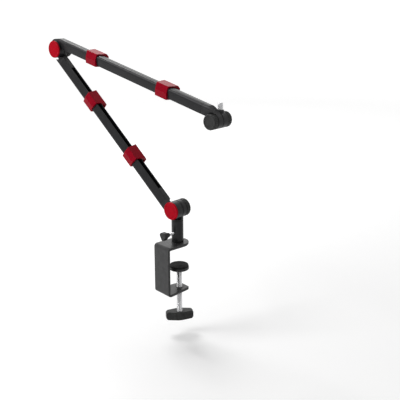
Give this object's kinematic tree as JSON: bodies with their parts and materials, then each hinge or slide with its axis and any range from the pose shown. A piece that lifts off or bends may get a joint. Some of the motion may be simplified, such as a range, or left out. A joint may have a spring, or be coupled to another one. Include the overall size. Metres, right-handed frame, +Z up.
{
  "type": "microphone boom arm",
  "caption": "Desk-clamp boom arm with two folding channel arms, a swivel post, friction knobs, cable clips and a threaded microphone stud.",
  "frame": {"origin": "on the swivel axis, in the face of the upper jaw that rests on the desk top", "axes": "+Z up along the swivel axis, +X along the desk edge towards the microphone, +Y from the desk edge over the desk"},
  "size_m": [0.4179, 0.1023, 0.498],
  "materials": {
    "black_metal": "satin",
    "black_casting": "satin painted casting",
    "black_aluminium": "satin anodised",
    "rubber": "matt",
    "steel": "turned",
    "chrome": "plated",
    "nylon": "natural",
    "black_plastic": "fine texture",
    "brass": "turned",
    "red_cap": "gloss",
    "red_clip": "gloss"
  },
  "bodies": {
    "clamp": {"clamp_frame": "black_metal", "top_pad": "rubber", "jaw_bush": "black_metal", "post_socket": "black_metal", "post_screw": "steel", "swivel_bush": "nylon"},
    "pressure_foot": {"pressure_pad": "rubber", "pressure_disc": "black_metal"},
    "clamp_screw": {"clamp_screw": "chrome", "screw_handle": "black_plastic"},
    "lock_tip": {"lock_tip": "brass"},
    "lock_screw": {"lock_screw": "steel", "lock_knob": "black_plastic"},
    "turret": {"swivel_pin": "steel", "turret_head": "black_casting", "base_disc": "nylon"},
    "lower_arm": {"lower_channel": "black_aluminium", "lower_base_fitting": "black_casting", "lower_elbow_fitting": "black_casting", "lower_screws": "steel", "base_bolt": "steel", "base_cap": "red_cap"},
    "base_knob": {"base_washer": "steel", "base_knob": "black_plastic", "base_knob_nut": "brass"},
    "clip_1": {"cable_clip_1": "red_clip"},
    "clip_2": {"cable_clip_2": "red_clip"},
    "upper_arm": {"upper_channel": "black_aluminium", "upper_elbow_fitting": "black_casting", "upper_tip_fitting": "black_casting", "upper_screws": "steel", "elbow_bolt": "steel", "elbow_cap": "red_cap", "elbow_disc": "nylon", "tip_bolt": "steel"},
    "elbow_knob": {"elbow_washer": "steel", "elbow_knob": "black_plastic", "elbow_knob_nut": "brass"},
    "clip_3": {"cable_clip_3": "red_clip"},
    "clip_4": {"cable_clip_4": "red_clip"},
    "mic_head": {"mic_barrel": "black_casting", "mic_stud": "chrome", "tip_disc": "nylon"},
    "tip_near_knob": {"tip_near_knob": "black_plastic", "tip_near_nut": "brass"},
    "tip_far_knob": {"tip_far_knob": "black_plastic", "tip_far_nut": "brass"}
  },
  "joints": [
    {"name": "pad_lift", "type": "slide", "parent": "clamp", "child": "pressure_foot", "axis": [0, 0, 1], "range_m": [-0.0275, 0.0375]},
    {"name": "screw_turn", "type": "hinge", "parent": "pressure_foot", "child": "clamp_screw", "pos_m": [0, 0.003, -0.1], "axis": [0, 0, 1], "range_deg": [-6612, 9012]},
    {"name": "lock_feed", "type": "slide", "parent": "clamp", "child": "lock_tip", "axis": [-0.0698, 0.9976, 0], "range_m": [-0.0024, 0]},
    {"name": "lock_turn", "type": "hinge", "parent": "lock_tip", "child": "lock_screw", "pos_m": [0.00139, -0.01995, 0.0233], "axis": [-0.0698, 0.9976, 0], "range_deg": [-1085, 0]},
    {"name": "swivel", "type": "hinge", "parent": "clamp", "child": "turret", "pos_m": [0, 0, 0.0465], "axis": [0, 0, 1], "continuous": true},
    {"name": "base_tilt", "type": "hinge", "parent": "turret", "child": "lower_arm", "pos_m": [0, 0, 0.06655], "axis": [-0.1409, 0.99, 0], "range_deg": [-27, 75]},
    {"name": "base_knob_turn", "type": "hinge", "parent": "lower_arm", "child": "base_knob", "pos_m": [-0.00197, 0.01386, 0.06655], "axis": [-0.1409, 0.99, 0], "range_deg": [-720, 360]},
    {"name": "clip_1_slide", "type": "slide", "parent": "lower_arm", "child": "clip_1", "axis": [-0.746, -0.1062, 0.6574], "range_m": [-0.02, 0.02]},
    {"name": "clip_2_slide", "type": "slide", "parent": "lower_arm", "child": "clip_2", "axis": [-0.746, -0.1062, 0.6574], "range_m": [-0.02, 0.02]},
    {"name": "elbow_tilt", "type": "hinge", "parent": "lower_arm", "child": "upper_arm", "pos_m": [-0.29842, -0.04247, 0.3295], "axis": [-0.1409, 0.99, 0], "range_deg": [-113, 8]},
    {"name": "elbow_knob_turn", "type": "hinge", "parent": "upper_arm", "child": "elbow_knob", "pos_m": [-0.30011, -0.03059, 0.3295], "axis": [-0.1409, 0.99, 0], "range_deg": [-720, 360]},
    {"name": "clip_3_slide", "type": "slide", "parent": "upper_arm", "child": "clip_3", "axis": [0.9619, 0.1369, -0.2368], "range_m": [-0.02, 0.02]},
    {"name": "clip_4_slide", "type": "slide", "parent": "upper_arm", "child": "clip_4", "axis": [0.9619, 0.1369, -0.2368], "range_m": [-0.02, 0.02]},
    {"name": "tip_tilt", "type": "hinge", "parent": "upper_arm", "child": "mic_head", "pos_m": [0.08632, 0.01229, 0.23477], "axis": [-0.1409, 0.99, 0], "range_deg": [-55, 100]},
    {"name": "tip_near_turn", "type": "hinge", "parent": "upper_arm", "child": "tip_near_knob", "pos_m": [0.08816, -0.00059, 0.23477], "axis": [-0.1409, 0.99, 0], "range_deg": [-360, 720]},
    {"name": "tip_far_turn", "type": "hinge", "parent": "upper_arm", "child": "tip_far_knob", "pos_m": [0.08322, 0.03407, 0.23477], "axis": [-0.1409, 0.99, 0], "range_deg": [-720, 360]}
  ],
  "couplings": [
    {"joint": "screw_turn", "follows": "pad_lift", "rad_per_m": 4188.8},
    {"joint": "lock_turn", "follows": "lock_feed", "rad_per_m": 7854}
  ]
}
